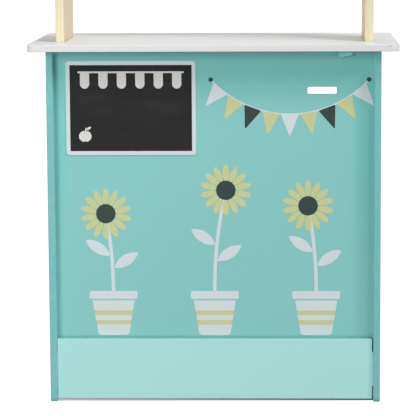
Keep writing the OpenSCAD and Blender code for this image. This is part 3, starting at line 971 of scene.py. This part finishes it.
def print_garland():
    """A string between two tacks, with flags of three inks along it."""
    ring_z = GARLAND_LOW + GARLAND_RADIUS

    def hung(shape, swing, turn=0.0):
        """A copy of a shape on the string, so far round it to the right of its lowest point."""
        aside = GARLAND_MIDDLE + GARLAND_RADIUS * math.sin(swing)
        return copy_of(shape, aside, ring_z - GARLAND_RADIUS * math.cos(swing), turn)

    flag = flag_shape()
    flags = {ink: [] for ink in FLAG_INKS}
    for place, ink in enumerate(FLAG_INKS):
        swing = (place - (len(FLAG_INKS) - 1) / 2) * FLAG_PITCH
        flags[ink].append(hung(flag, swing, -swing))
    band = arc_band(STRING_WIDTH, GARLAND_RADIUS, GARLAND_SWEEP)
    string = copy_of(band, GARLAND_MIDDLE, ring_z, -(FACING + GARLAND_SWEEP / 2))
    tack = flat_disc(TACK_SIZE, TACK_SIZE, PETAL_SIDES)
    tacks = [hung(tack, end * GARLAND_SWEEP / 2) for end in (-1, 1)]
    print_film("garland_string", [string], white_ink, face_y, films=1, slot="white_border")
    print_film("garland_white_flags", flags["white"], white_ink, face_y, films=2, slot="white_border")
    print_film("garland_yellow_flags", flags["yellow"], yellow_ink, face_y, films=2)
    print_film("garland_dark_flags", flags["dark"], dark_ink, face_y, films=2)
    print_film("garland_tacks", tacks, dark_ink, face_y, films=3)
    discard(flag, band, tack)


def print_plants():
    """Three flowers in striped pots, on stems that bend to one side."""
    pot = pot_shape()
    pot_rim = round_corners(flat_plate(RIM_WIDTH, RIM_HEIGHT), RIM_CORNER, any_point)
    stripes = [trim(copy_of(pot), low, low + STRIPE_HEIGHT) for low in STRIPE_FEET]
    leaf = leaf_shape(LEAF_LENGTH, LEAF_WIDTH)
    petals = petal_ring(PETAL_COUNT, PETAL_LENGTH, PETAL_WIDTH, PETAL_INNER)
    seeds = flat_disc(SEEDS_SIZE, SEEDS_SIZE, SEEDS_SIDES)
    rim_z = POTS_FOOT + POT_HEIGHT + RIM_GAP
    stem_z = rim_z + RIM_HEIGHT
    white_shapes = []
    yellow_shapes = []
    dark_shapes = []
    for aside, height, lean in PLANTS:
        white_shapes.append(copy_of(pot, aside, POTS_FOOT))
        white_shapes.append(copy_of(pot_rim, aside, rim_z))
        yellow_shapes.extend(copy_of(stripe, aside, POTS_FOOT) for stripe in stripes)
        sweep = height / STEM_RADIUS
        stem = arc_band(STEM_WIDTH, STEM_RADIUS, sweep)
        turn = 0 if lean > 0 else math.pi - sweep
        white_shapes.append(copy_of(stem, aside + lean * STEM_RADIUS, stem_z, turn))
        discard(stem)
        for share, side in LEAF_PLACES:
            bend = share * sweep
            leaf_x = aside + lean * STEM_RADIUS * (1 - math.cos(bend)) + side * STEM_WIDTH / 2
            leaf_turn = -LEAF_RISE if side > 0 else math.pi + LEAF_RISE
            white_shapes.append(copy_of(leaf, leaf_x, stem_z + STEM_RADIUS * math.sin(bend), leaf_turn))
        head_x = aside + lean * STEM_RADIUS * (1 - math.cos(sweep))
        head_z = stem_z + STEM_RADIUS * math.sin(sweep)
        yellow_shapes.append(copy_of(petals, head_x, head_z))
        dark_shapes.append(copy_of(seeds, head_x, head_z))
    print_film("plants_pots_and_leaves", white_shapes, white_ink, face_y, films=1, slot="white_border")
    print_film("plants_petals_and_stripes", yellow_shapes, yellow_ink, face_y, films=2)
    print_film("plants_seed_heads", dark_shapes, dark_ink, face_y, films=3)
    discard(pot, pot_rim, leaf, petals, seeds, *stripes)


def draw_on_board():
    """An awning and an apple in chalk, on the board's sheet."""
    low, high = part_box("chalkboard_sheet")
    middle = (low.x + high.x) / 2
    awning_z = high.z - AWNING_DROP
    tongue = tongue_shape()
    bar = flat_plate(AWNING_WIDTH, BAR_HEIGHT)
    awning = [copy_of(bar, middle, awning_z)]
    for place in range(TONGUE_COUNT):
        aside = (place - (TONGUE_COUNT - 1) / 2) * TONGUE_PITCH
        awning.append(copy_of(tongue, middle + aside, awning_z))
    apple = apple_shape()
    stalk = flat_plate(STALK_WIDTH, STALK_HEIGHT)
    leaf = leaf_shape(FRUIT_LEAF_LENGTH, FRUIT_LEAF_WIDTH)
    fruit_x = low.x + FRUIT_INSET
    fruit_z = low.z + FRUIT_INSET
    stalk_z = fruit_z + APPLE_HEIGHT / 2 - APPLE_DIP
    fruit = [copy_of(apple, fruit_x, fruit_z)]
    fruit.append(copy_of(stalk, fruit_x, stalk_z, STALK_LEAN))
    fruit.append(copy_of(leaf, fruit_x + STALK_WIDTH, stalk_z + STALK_HEIGHT / 2, -LEAF_RISE))
    print_film("chalk_awning", awning, chalk, low.y, films=1)
    print_film("chalk_apple", fruit, chalk, low.y, films=1)
    discard(bar, tongue, apple, stalk, leaf)


print_garland()
print_plants()
draw_on_board()

# The finishes of the CAD nodes that stay as they are
FITTINGS = {
    "chalkboard_sheet": slate,
    "turn_screw": button_teal,
    "turn_washer": nylon,
    "shelf_bolts": zinc,
    "barrel_nuts": zinc,
    "upright_bolts": zinc,
    "sleeve_nuts": zinc,
    "kick_screws": zinc,
    "cleat_screws": zinc,
    "header_screws": zinc,
    "tie_screws": zinc,
    "shelf_dowels": beech,
    "top_dowels": beech,
}
for node, fitting_finish in FITTINGS.items():
    for material_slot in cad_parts[node].material_slots:
        material_slot.material = fitting_finish

camera_data = bpy.data.cameras.new("camera")
camera_data.sensor_width = SENSOR
camera_data.lens = FOCAL_PIXELS / IMAGE_SIDE * SENSOR
camera_data.shift_x = 0.5 - MIDDLE_PIXEL[0] / IMAGE_SIDE
camera_data.shift_y = MIDDLE_PIXEL[1] / IMAGE_SIDE - 0.5
camera = bpy.data.objects.new("camera", camera_data)
camera.location = CAMERA_PLACE
aim = Euler((FACING - math.radians(CAMERA_TILT), 0, math.radians(CAMERA_TURN))).to_matrix()
camera.rotation_euler = (aim @ Matrix.Rotation(math.radians(CAMERA_ROLL), 3, "Z")).to_euler()
bpy.context.scene.collection.objects.link(camera)
bpy.context.scene.camera = camera

for softbox, light in SOFTBOXES.items():
    right = math.radians(light["right"])
    up = math.radians(light["up"])
    way = Vector((math.sin(right) * math.cos(up), -math.cos(right) * math.cos(up), math.sin(up)))
    bpy.ops.object.light_add(type="AREA", location=Vector(LIGHT_AIM) + way * light["distance"])
    lamp = bpy.context.object
    lamp.name = softbox
    lamp.rotation_euler = way.to_track_quat("Z", "Y").to_euler()
    lamp.data.size = light["side"]
    lamp.data.energy = light["power"]

world = bpy.data.worlds.new("studio")
world.use_nodes = True
world_light = world.node_tree.nodes["Background"].inputs
world_light["Color"].default_value = WHITE
world_light["Strength"].default_value = ROOM_LIGHT
bpy.context.scene.world = world
bpy.context.scene.view_settings.view_transform = "Standard"

bpy.ops.mesh.primitive_plane_add(size=FLOOR_SPAN)
floor = bpy.context.object
floor.name = "floor"
bpy.ops.mesh.primitive_cylinder_add(vertices=BACKDROP_SIDES, radius=BACKDROP_RADIUS,
                                    depth=BACKDROP_HEIGHT, end_fill_type="NOTHING")
backdrop = bpy.context.object
backdrop.name = "backdrop"
backdrop.visible_glossy = False
paper = studio_paper("studio_paper")
for sweep in (floor, backdrop):
    sweep.data.materials.append(paper)
    sweep.visible_diffuse = False
    sweep.visible_shadow = False
